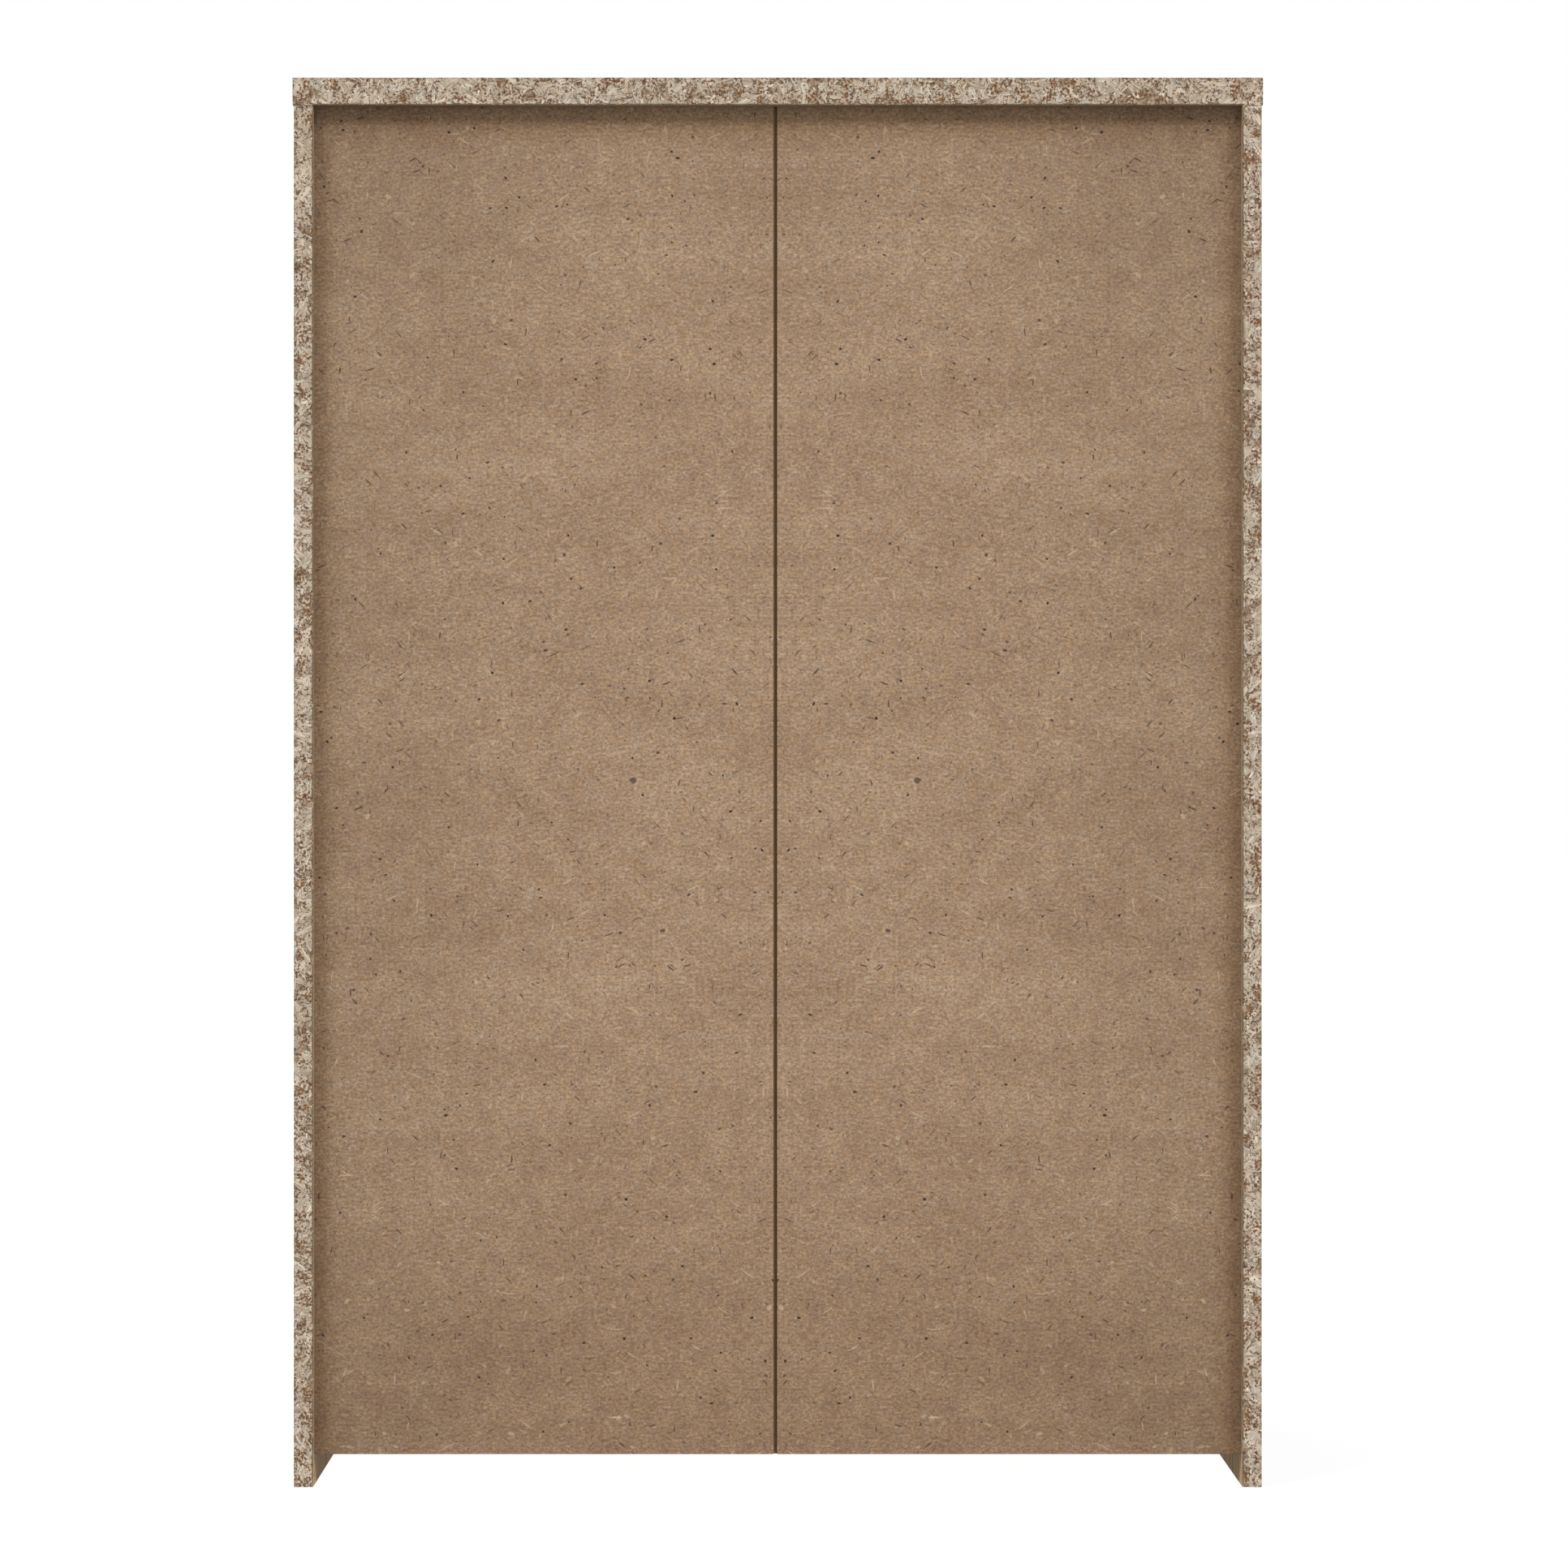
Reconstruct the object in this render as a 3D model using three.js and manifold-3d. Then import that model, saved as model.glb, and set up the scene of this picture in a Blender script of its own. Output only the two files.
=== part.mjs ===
// A low two-door wardrobe, in millimetres, +Z up. The origin is on the floor, under the middle of its box.
// The doors face -Y. Left and right are those of someone who faces the doors, so left is -X.
import * as THREE from "three";
import { mergeVertices } from "three/addons/utils/BufferGeometryUtils.js";
import Module from "manifold-3d";

const wasm = await Module();
wasm.setup();

// Driving dimensions
const TOP_WIDTH = 900;
const HEIGHT = 1307;
const BOARD = 18; // sides, bottom, partition, shelves, doors and plinth
const TOP_BOARD = 25.5;
const TOP_OVERHANG = 1.25; // past each side board
const FLOOR_GAP = 29; // under the bottom board and the back panels
const SIDE_DEPTH = 490;
const DOOR_GAP = 2.5; // between the side boards' front edges and the doors
const TOP_LIP = 1.5; // the top board's reach past the door fronts
const HANDLE_REACH = 30;

// Back panels
const BACK_BOARD = 3;
const BACK_RECESS = 10; // from the side boards' back edges to the panels
const GROOVE_WIDTH = 3.5;
const GROOVE_DEPTH = 7;
const SEAM_WIDTH = 3.5;
const SEAM_X = 2.25; // the seam is this far right of the middle
const REST_GAP = 0.25; // between pieces that lie against each other

// Places worked out from those
const DEPTH = SIDE_DEPTH + DOOR_GAP + BOARD + HANDLE_REACH;
const BACK_Y = DEPTH / 2;
const SIDE_FRONT_Y = BACK_Y - SIDE_DEPTH;
const DOOR_BACK_Y = SIDE_FRONT_Y - DOOR_GAP;
const DOOR_FRONT_Y = DOOR_BACK_Y - BOARD;
const GROOVE_FRONT_Y = BACK_Y - BACK_RECESS - BACK_BOARD - REST_GAP;
const TOP_UNDER_Z = HEIGHT - TOP_BOARD;
const BOTTOM_TOP_Z = FLOOR_GAP + BOARD;
const OUTER_X = TOP_WIDTH / 2 - TOP_OVERHANG;
const INNER_X = OUTER_X - BOARD;
const PARTITION_X = BOARD / 2;
const SIDES = [["left", -1], ["right", 1]];

// Doors and hinges
const DOOR_SPLIT = 3; // between the two doors
const DOOR_TOP_GAP = 3;
const DOOR_BOTTOM_Z = FLOOR_GAP + 2;
const DOOR_TOP_Z = TOP_UNDER_Z - DOOR_TOP_GAP;
const KNUCKLE_R = 3.5;
const HINGE_BORE_R = 2.15;
const HINGE_PIN_R = 1.75;
const HINGE_PIN_HEAD_R = 2.75;
const HINGE_HEIGHT = 50;
const LEAF = 1;
const LEAF_INNER = 4; // from the hinge axis to where both leaves begin
const CARCASS_LEAF_END = 13.5;
const DOOR_LEAF_END = 18;
const DOOR_KNUCKLE = 17.5;
const HINGE_X = OUTER_X - KNUCKLE_R - REST_GAP;
const HINGE_Y = SIDE_FRONT_Y - KNUCKLE_R - REST_GAP;
const DOOR_OUTER_X = HINGE_X - LEAF_INNER - 0.5;
const HINGE_END = 110; // from a door's end to the middle of its outer hinges
const HINGE_PLACES = [
  ["lower", DOOR_BOTTOM_Z + HINGE_END],
  ["middle", (DOOR_BOTTOM_Z + DOOR_TOP_Z) / 2 + 0.25],
  ["upper", DOOR_TOP_Z - HINGE_END],
];

// Handles
const HANDLE_BAR_R = 5;
const HANDLE_POST_R = 4;
const HANDLE_LENGTH = 168;
const HANDLE_SPAN = 128;
const HANDLE_X = 38;
const HANDLE_Z = 705;
const HANDLE_Y = DOOR_FRONT_Y - HANDLE_REACH + HANDLE_BAR_R;
const CHAMFER = 0.75;

// Shelves, with five equal bays
const BAYS = 5;
const BAY_HEIGHT = (TOP_UNDER_Z - BOTTOM_TOP_Z - (BAYS - 1) * BOARD) / BAYS;
const SHELF_SIDE_GAP = 0.75;
const SHELF_FRONT_Y = SIDE_FRONT_Y + 12;
const SHELF_BACK_Y = GROOVE_FRONT_Y - 2;
const SHELVES = [
  ["shelf_lower", 1, true],
  ["shelf_fixed", 2, false],
  ["shelf_middle", 3, true],
  ["shelf_upper", 4, true],
];
const PIN_R = 2.5;
const PIN_REACH = 8; // into the board, and out of it
const PIN_HOLE_R = 2.85;
const PIN_HOLE_DEPTH = 8.5;
const PIN_DROP = PIN_R + REST_GAP; // from a shelf's underside to its pins' middle
const PIN_ROWS = [["front", -170], ["rear", 200]];
const HOLE_PITCH = 32;

// Hanging rail
const RAIL_TALL = 30;
const RAIL_THICK = 15;
const RAIL_WALL = 1.25;
const RAIL_DROP = 60; // from the top board's underside to the rail's middle
const RAIL_Y = 18.5;
const SOCKET_PLATE = 2.5;
const SOCKET_COLLAR = 12;
const SOCKET_WALL = 2.25;
const SOCKET_FIT = 0.3;
const SOCKET_FLANGE = 9;

// Small fittings
const FOOT_R = 22;
const CATCH_SIZE = [46, 14, 14];
const CATCH_X = 37;
const STRIKE_SIZE = [40, 1, 12];
const PLINTH_SET_BACK = 10;

const oak = () => new THREE.MeshStandardMaterial({ color: 0xa08c72, roughness: 0.55, metalness: 0 });
const hardboard = () => new THREE.MeshStandardMaterial({ color: 0xa0856c, roughness: 0.8, metalness: 0 });
const steel = () => new THREE.MeshStandardMaterial({ color: 0xb4b4b0, roughness: 0.35, metalness: 1 });
const chrome = () => new THREE.MeshStandardMaterial({ color: 0xd0d0d0, roughness: 0.12, metalness: 1 });
const plastic = () => new THREE.MeshStandardMaterial({ color: 0x5a4a3c, roughness: 0.6, metalness: 0 });

// Shapes -----------------------------------------------------------------------------------------------

// A box between two corners, moved there from its middle.
function boxGeometry([x0, y0, z0], [x1, y1, z1]) {
  const geometry = new THREE.BoxGeometry(x1 - x0, y1 - y0, z1 - z0);
  return geometry.translate((x0 + x1) / 2, (y0 + y1) / 2, (z0 + z1) / 2);
}

// A cylinder along +Z that starts at z = 0.
function rodGeometry(radius, length, sides) {
  const geometry = new THREE.CylinderGeometry(radius, radius, length, sides);
  return geometry.rotateX(Math.PI / 2).translate(0, 0, length / 2);
}

// A turned shape along +Z, from [radius, height] points that start and end on the axis.
function turnedGeometry(points, sides) {
  const profile = points.map(([radius, height]) => new THREE.Vector2(radius, height));
  return new THREE.LatheGeometry(profile, sides).rotateX(Math.PI / 2);
}

// A slot outline with round ends, upright, centred on the origin.
function slotOutline(width, height, PathType) {
  const outline = new PathType();
  const straight = (height - width) / 2;
  outline.absarc(0, straight, width / 2, 0, Math.PI, false);
  outline.absarc(0, -straight, width / 2, Math.PI, 2 * Math.PI, false);
  outline.closePath();
  return outline;
}

// A slot outline pushed out along +X, with its long side along Z.
function slotBar(width, height, length) {
  const outline = slotOutline(width, height, THREE.Shape);
  const bar = new THREE.ExtrudeGeometry(outline, { depth: length, bevelEnabled: false, curveSegments: 6 });
  const turn = new THREE.Matrix4().makeBasis(
    new THREE.Vector3(0, 1, 0),
    new THREE.Vector3(0, 0, 1),
    new THREE.Vector3(1, 0, 0),
  );
  return bar.applyMatrix4(turn);
}

function solidOf(geometry) {
  const plain = geometry.clone();
  plain.deleteAttribute("normal");
  plain.deleteAttribute("uv");
  const merged = mergeVertices(plain, 1e-4);
  const mesh = new wasm.Mesh({
    numProp: 3,
    vertProperties: merged.attributes.position.array,
    triVerts: Uint32Array.from(merged.index.array),
  });
  return new wasm.Manifold(mesh);
}

function geometryOf(solid) {
  const { vertProperties, triVerts } = solid.getMesh();
  const geometry = new THREE.BufferGeometry();
  geometry.setAttribute("position", new THREE.BufferAttribute(vertProperties, 3));
  geometry.setIndex(new THREE.BufferAttribute(triVerts, 1));
  geometry.computeVertexNormals();
  return geometry;
}

// The first geometry with the others joined to it or cut from it.
function joined(first, ...others) {
  return geometryOf(others.reduce((whole, other) => whole.add(solidOf(other)), solidOf(first)));
}

function cut(first, ...others) {
  return geometryOf(others.reduce((whole, other) => whole.subtract(solidOf(other)), solidOf(first)));
}

function piece(name, geometry, material, position = [0, 0, 0]) {
  const mesh = new THREE.Mesh(geometry, material);
  mesh.name = name;
  mesh.position.set(...position);
  return mesh;
}

// The same box on the left or the right: the corners are given for the right.
function mirroredBox(side, [x0, y0, z0], [x1, y1, z1]) {
  const [low, high] = side > 0 ? [x0, x1] : [-x1, -x0];
  return boxGeometry([low, y0, z0], [high, y1, z1]);
}

// Carcass ----------------------------------------------------------------------------------------------

const shelfUnderZ = (place) => BOTTOM_TOP_Z + place * BAY_HEIGHT + (place - 1) * BOARD;

// Blind holes for the shelf pins, three above each other at each pin, that go into a board from the face
// at x, towards the given side.
function pinHoles(x, side) {
  const holes = [];
  for (const [, place, adjustable] of SHELVES) {
    for (const [, y] of adjustable ? PIN_ROWS : []) {
      for (const step of [-1, 0, 1]) {
        const hole = rodGeometry(PIN_HOLE_R, PIN_HOLE_DEPTH + 1, 8).rotateY((side * Math.PI) / 2);
        const z = shelfUnderZ(place) - PIN_DROP + step * HOLE_PITCH;
        holes.push(hole.translate(x - side, y, z));
      }
    }
  }
  return holes;
}

function sidePanel(name, side) {
  const board = mirroredBox(side, [INNER_X, SIDE_FRONT_Y, 0], [OUTER_X, BACK_Y, TOP_UNDER_Z]);
  const groove = mirroredBox(
    side,
    [INNER_X - 1, GROOVE_FRONT_Y, -1],
    [INNER_X + GROOVE_DEPTH, GROOVE_FRONT_Y + GROOVE_WIDTH, TOP_UNDER_Z + 1],
  );
  const holes = side > 0 ? pinHoles(INNER_X, 1) : [];
  return piece(`side_panel_${name}`, cut(board, groove, ...holes), oak());
}

function topPanel() {
  const board = boxGeometry(
    [-TOP_WIDTH / 2, DOOR_FRONT_Y - TOP_LIP, TOP_UNDER_Z],
    [TOP_WIDTH / 2, BACK_Y, HEIGHT],
  );
  const groove = boxGeometry(
    [-INNER_X - GROOVE_DEPTH, GROOVE_FRONT_Y, TOP_UNDER_Z - 1],
    [INNER_X + GROOVE_DEPTH, GROOVE_FRONT_Y + GROOVE_WIDTH, TOP_UNDER_Z + GROOVE_DEPTH],
  );
  return piece("top_panel", cut(board, groove), oak());
}

function bottomPanel() {
  const board = boxGeometry([-INNER_X, SIDE_FRONT_Y, FLOOR_GAP], [INNER_X, GROOVE_FRONT_Y, BOTTOM_TOP_Z]);
  return piece("bottom_panel", board, oak());
}

function centrePartition() {
  const board = boxGeometry(
    [-PARTITION_X, SIDE_FRONT_Y, BOTTOM_TOP_Z],
    [PARTITION_X, GROOVE_FRONT_Y, TOP_UNDER_Z],
  );
  return piece("centre_partition", cut(board, ...pinHoles(PARTITION_X, -1)), oak());
}

function backPanel(name, side) {
  const y = GROOVE_FRONT_Y + REST_GAP;
  const reach = INNER_X + GROOVE_DEPTH - 0.5;
  const seam = SEAM_WIDTH / 2 + side * SEAM_X;
  const panel = mirroredBox(
    side,
    [seam, y, FLOOR_GAP],
    [reach, y + BACK_BOARD, TOP_UNDER_Z + GROOVE_DEPTH - 1],
  );
  return piece(`back_panel_${name}`, panel, hardboard());
}

function plinth() {
  const front = SIDE_FRONT_Y + PLINTH_SET_BACK;
  const board = boxGeometry([-INNER_X, front, 0], [INNER_X, front + BOARD, FLOOR_GAP]);
  return piece("plinth", board, oak());
}

function centreFoot() {
  const outline = [
    [0, 0],
    [FOOT_R - 2, 0],
    [FOOT_R, 2],
    [FOOT_R, 8],
    [FOOT_R - 8, 12],
    [FOOT_R - 8, FLOOR_GAP - 4],
    [FOOT_R - 1, FLOOR_GAP - 4],
    [FOOT_R - 1, FLOOR_GAP],
    [0, FLOOR_GAP],
  ];
  return piece("centre_foot", turnedGeometry(outline, 20), plastic());
}

function shelf(name, place, adjustable) {
  const gap = adjustable ? SHELF_SIDE_GAP : 0;
  const z = shelfUnderZ(place);
  const board = boxGeometry(
    [PARTITION_X + gap, SHELF_FRONT_Y, z],
    [INNER_X - gap, adjustable ? SHELF_BACK_Y : GROOVE_FRONT_Y, z + BOARD],
  );
  return piece(name, board, oak());
}

function shelfPins(name, place) {
  const z = shelfUnderZ(place) - PIN_DROP;
  const outline = [
    [0, -PIN_REACH],
    [PIN_R, -PIN_REACH],
    [PIN_R, PIN_REACH - CHAMFER],
    [PIN_R - CHAMFER, PIN_REACH],
    [0, PIN_REACH],
  ];
  const pins = [];
  for (const [row, y] of PIN_ROWS) {
    for (const [wall, x, side] of [["partition", PARTITION_X, 1], ["side", INNER_X, -1]]) {
      const pin = turnedGeometry(outline, 8).rotateY((side * Math.PI) / 2);
      pins.push(piece(`${name}_pin_${row}_${wall}`, pin, steel(), [x, y, z]));
    }
  }
  return pins;
}

function hangingRail() {
  const z = TOP_UNDER_Z - RAIL_DROP;
  const start = -INNER_X + SOCKET_PLATE + 0.5;
  const end = -PARTITION_X - SOCKET_PLATE - 0.5;
  const hollow = slotBar(RAIL_THICK - 2 * RAIL_WALL, RAIL_TALL - 2 * RAIL_WALL, end - start + 2);
  const tube = cut(slotBar(RAIL_THICK, RAIL_TALL, end - start), hollow.translate(-1, 0, 0));
  const pieces = [piece("hanging_rail", tube, chrome(), [start, RAIL_Y, z])];

  for (const [name, x, side] of [["outer", -INNER_X, 1], ["inner", -PARTITION_X, -1]]) {
    const around = 2 * (SOCKET_FIT + SOCKET_WALL);
    const flange = 2 * SOCKET_FLANGE;
    const plate = slotBar(RAIL_THICK + flange, RAIL_TALL + flange, SOCKET_PLATE);
    const collar = slotBar(RAIL_THICK + around, RAIL_TALL + around, SOCKET_PLATE + SOCKET_COLLAR);
    const mouth = slotBar(RAIL_THICK + 2 * SOCKET_FIT, RAIL_TALL + 2 * SOCKET_FIT, SOCKET_COLLAR + 1);
    const body = cut(joined(plate, collar), mouth.translate(SOCKET_PLATE, 0, 0));
    const turned = side > 0 ? body : body.rotateZ(Math.PI);
    pieces.push(piece(`rail_socket_${name}`, turned, chrome(), [x, RAIL_Y, z]));
  }
  return pieces;
}

function magneticCatch(name, side) {
  const [width, depth, height] = CATCH_SIZE;
  const front = DOOR_BACK_Y + STRIKE_SIZE[1] + 0.5;
  const x = side * CATCH_X;
  const housing = boxGeometry(
    [x - width / 2, front + 1, TOP_UNDER_Z - height],
    [x + width / 2, front + depth, TOP_UNDER_Z],
  );
  const magnet = boxGeometry(
    [x - width / 2 + 6, front, TOP_UNDER_Z - height + 3],
    [x + width / 2 - 6, front + 3, TOP_UNDER_Z - 4],
  );
  return piece(`magnetic_catch_${name}`, joined(housing, magnet), plastic());
}

// Hinges -----------------------------------------------------------------------------------------------

// One leaf of a right-hand hinge about the origin: a plate that runs to -X, and its knuckles.
function leafGeometry(plateY, plateEnd, knuckles) {
  const half = HINGE_HEIGHT / 2;
  const parts = [boxGeometry([-plateEnd, plateY, -half], [-LEAF_INNER, plateY + LEAF, half])];
  const bores = [];
  for (const [low, high] of knuckles) {
    parts.push(boxGeometry([-LEAF_INNER - 1, plateY, low], [0, plateY + LEAF, high]));
    parts.push(rodGeometry(KNUCKLE_R, high - low, 12).translate(0, 0, low));
    bores.push(rodGeometry(HINGE_BORE_R, high - low + 2, 12).translate(0, 0, low - 1));
  }
  return cut(joined(...parts), ...bores);
}

// The leaf for either side. The mirror turns faces inside out, so they are turned back.
function sidedLeaf(side, plateY, plateEnd, knuckles) {
  const leaf = leafGeometry(plateY, plateEnd, knuckles);
  if (side > 0) {
    return leaf;
  }
  const index = leaf.index.array;
  for (let i = 0; i < index.length; i += 3) {
    [index[i], index[i + 1]] = [index[i + 1], index[i]];
  }
  leaf.scale(-1, 1, 1);
  leaf.computeVertexNormals();
  return leaf;
}

function carcassLeaf(name, side, z) {
  const half = HINGE_HEIGHT / 2;
  const inner = DOOR_KNUCKLE / 2 + REST_GAP;
  const plateY = SIDE_FRONT_Y - LEAF - HINGE_Y;
  const leaf = sidedLeaf(side, plateY, CARCASS_LEAF_END, [[-half, -inner], [inner, half]]);
  return piece(`hinge_${name}_carcass_leaf`, leaf, steel(), [side * HINGE_X, HINGE_Y, z]);
}

function doorLeaf(name, side, z) {
  const half = DOOR_KNUCKLE / 2;
  const leaf = sidedLeaf(side, DOOR_BACK_Y - HINGE_Y, DOOR_LEAF_END, [[-half, half]]);
  return piece(`hinge_${name}_door_leaf`, leaf, steel(), [side * HINGE_X, HINGE_Y, z]);
}

function hingePin(name, side, z) {
  const end = HINGE_HEIGHT / 2 + REST_GAP;
  const outline = [
    [0, -end - 1.25],
    [HINGE_PIN_HEAD_R - 0.5, -end - 1.25],
    [HINGE_PIN_HEAD_R, -end],
    [HINGE_PIN_R, -end],
    [HINGE_PIN_R, end],
    [HINGE_PIN_HEAD_R, end],
    [HINGE_PIN_HEAD_R - 0.5, end + 1.25],
    [0, end + 1.25],
  ];
  return piece(`hinge_${name}_pin`, turnedGeometry(outline, 12), steel(), [side * HINGE_X, HINGE_Y, z]);
}

// Doors ------------------------------------------------------------------------------------------------

function doorPanel(name, side) {
  const panel = mirroredBox(
    side,
    [DOOR_SPLIT / 2, DOOR_FRONT_Y, DOOR_BOTTOM_Z],
    [DOOR_OUTER_X, DOOR_BACK_Y, DOOR_TOP_Z],
  );
  return piece(`door_panel_${name}`, panel, oak());
}

function strikePlate(name, side) {
  const [width, thick, height] = STRIKE_SIZE;
  const x = side * CATCH_X;
  const plate = boxGeometry(
    [x - width / 2, DOOR_BACK_Y, DOOR_TOP_Z - height],
    [x + width / 2, DOOR_BACK_Y + thick, DOOR_TOP_Z],
  );
  return piece(`strike_plate_${name}`, plate, steel());
}

function handle(name, side) {
  const half = HANDLE_LENGTH / 2;
  const x = side * HANDLE_X;
  const outline = [
    [0, -half],
    [HANDLE_BAR_R - CHAMFER, -half],
    [HANDLE_BAR_R, CHAMFER - half],
    [HANDLE_BAR_R, half - CHAMFER],
    [HANDLE_BAR_R - CHAMFER, half],
    [0, half],
  ];
  const bar = turnedGeometry(outline, 20);
  const pieces = [piece(`handle_bar_${name}`, bar, steel(), [x, HANDLE_Y, HANDLE_Z])];

  for (const [end, way] of [["lower", -1], ["upper", 1]]) {
    const z = HANDLE_Z + (way * HANDLE_SPAN) / 2;
    const reach = DOOR_FRONT_Y - HANDLE_Y;
    const post = rodGeometry(HANDLE_POST_R, reach - 3, 16).rotateX(Math.PI / 2).translate(0, reach, 0);
    const saddle = rodGeometry(HANDLE_BAR_R + 0.4, 20, 20).translate(0, 0, -10);
    pieces.push(piece(`handle_post_${name}_${end}`, cut(post, saddle), steel(), [x, HANDLE_Y, z]));
  }
  return pieces;
}

// Assembly ---------------------------------------------------------------------------------------------

const carcass = new THREE.Group();
carcass.add(topPanel(), bottomPanel(), centrePartition(), plinth(), centreFoot(), ...hangingRail());
for (const [name, place, adjustable] of SHELVES) {
  carcass.add(shelf(name, place, adjustable));
  if (adjustable) {
    carcass.add(...shelfPins(name, place));
  }
}

const doors = new THREE.Group();
for (const [name, side] of SIDES) {
  carcass.add(sidePanel(name, side), backPanel(name, side), magneticCatch(name, side));
  const door = new THREE.Group();
  door.add(doorPanel(name, side), strikePlate(name, side), ...handle(name, side));
  for (const [place, z] of HINGE_PLACES) {
    const hinge = `${name}_${place}`;
    carcass.add(carcassLeaf(hinge, side, z), hingePin(hinge, side, z));
    door.add(doorLeaf(hinge, side, z));
  }
  doors.add(door);
}

const wardrobe = new THREE.Group();
wardrobe.add(carcass, doors);
export default wardrobe;
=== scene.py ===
"""A low two-door wardrobe, seen from behind. Metres, +Z up, the doors face -Y."""

import math
import random

import bmesh
import bpy
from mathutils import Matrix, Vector


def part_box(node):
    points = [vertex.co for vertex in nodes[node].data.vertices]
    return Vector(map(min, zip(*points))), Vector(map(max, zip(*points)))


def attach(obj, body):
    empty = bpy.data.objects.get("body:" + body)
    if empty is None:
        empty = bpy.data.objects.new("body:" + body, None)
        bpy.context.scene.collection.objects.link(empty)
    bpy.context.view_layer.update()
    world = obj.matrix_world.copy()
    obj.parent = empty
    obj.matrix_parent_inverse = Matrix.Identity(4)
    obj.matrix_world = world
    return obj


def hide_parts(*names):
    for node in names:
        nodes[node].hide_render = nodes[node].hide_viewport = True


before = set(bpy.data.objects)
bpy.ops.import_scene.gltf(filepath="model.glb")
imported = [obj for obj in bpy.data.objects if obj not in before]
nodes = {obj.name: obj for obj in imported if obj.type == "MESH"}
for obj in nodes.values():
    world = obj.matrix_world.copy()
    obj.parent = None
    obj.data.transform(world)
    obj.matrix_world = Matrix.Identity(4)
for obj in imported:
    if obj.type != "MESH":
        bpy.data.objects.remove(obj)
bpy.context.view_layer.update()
scene = bpy.context.scene

# Where things are, from the frame ------------------------------------------------------------------

TOP_LOW, TOP_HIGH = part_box("top_panel")
BACK_Y = TOP_HIGH.y
UNDER_Z = TOP_LOW.z
SIDE_LOW, SIDE_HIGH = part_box("side_panel_right")
INNER_X, OUTER_X = SIDE_LOW.x, SIDE_HIGH.x
BOARD = OUTER_X - INNER_X
SIDE_FRONT_Y = SIDE_LOW.y
BOTTOM_LOW, BOTTOM_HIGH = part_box("bottom_panel")
SEAM_X = (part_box("back_panel_left")[1].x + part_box("back_panel_right")[0].x) / 2
SIDES = (("left", -1), ("right", 1))
HINGES = ("lower", "middle", "upper")
HORIZONTAL_BOARDS = (
    "top_panel",
    "bottom_panel",
    "plinth",
    "shelf_lower",
    "shelf_fixed",
    "shelf_middle",
    "shelf_upper",
)
UPRIGHT_BOARDS = (
    "side_panel_left",
    "side_panel_right",
    "centre_partition",
    "door_panel_left",
    "door_panel_right",
)

# Light. Two soft keys stand behind the wardrobe, to its left and right, and a fill stands before it.
KEY_STRENGTH = 6.15
KEY_ELEVATION = math.radians(49.5)
KEY_AZIMUTH = math.radians(58)
KEY_SOFTNESS = math.radians(27)
FILL_STRENGTH = 4.0
FILL_ELEVATION = math.radians(38)
FILL_AZIMUTH = math.radians(150)
FILL_SOFTNESS = math.radians(40)
FLOOR_GLOW = 0.88
SHELTERED_GLOW = 0.99  # under the wardrobe, where the lights don't reach
OPEN_LIGHT = 2.34  # what the back gets in the open, in units of the sky's light

# The camera is level, behind the wardrobe. Its shifts put the wardrobe in the middle of the picture.
CAMERA_X = 0.0241
CAMERA_DISTANCE = 3.883  # from the back edges
CAMERA_HEIGHT = 0.6514
CAMERA_SHIFT = (0.02055, 0.0004)
LENS = 96.15
SENSOR_WIDTH = 36.0

FACING = 0.7  # a face looks along an axis when its normal reaches this far along it


def seen(red, green, blue):
    """The surface colour that looks like this screen colour, 0 to 255, in the open light."""
    linear = []
    for value in (red, green, blue):
        share = value / 255
        if share <= 0.04045:
            linear.append(share / 12.92 / OPEN_LIGHT)
        else:
            linear.append(((share + 0.055) / 1.055) ** 2.4 / OPEN_LIGHT)
    return (*linear, 1.0)


# Material building ---------------------------------------------------------------------------------


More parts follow.
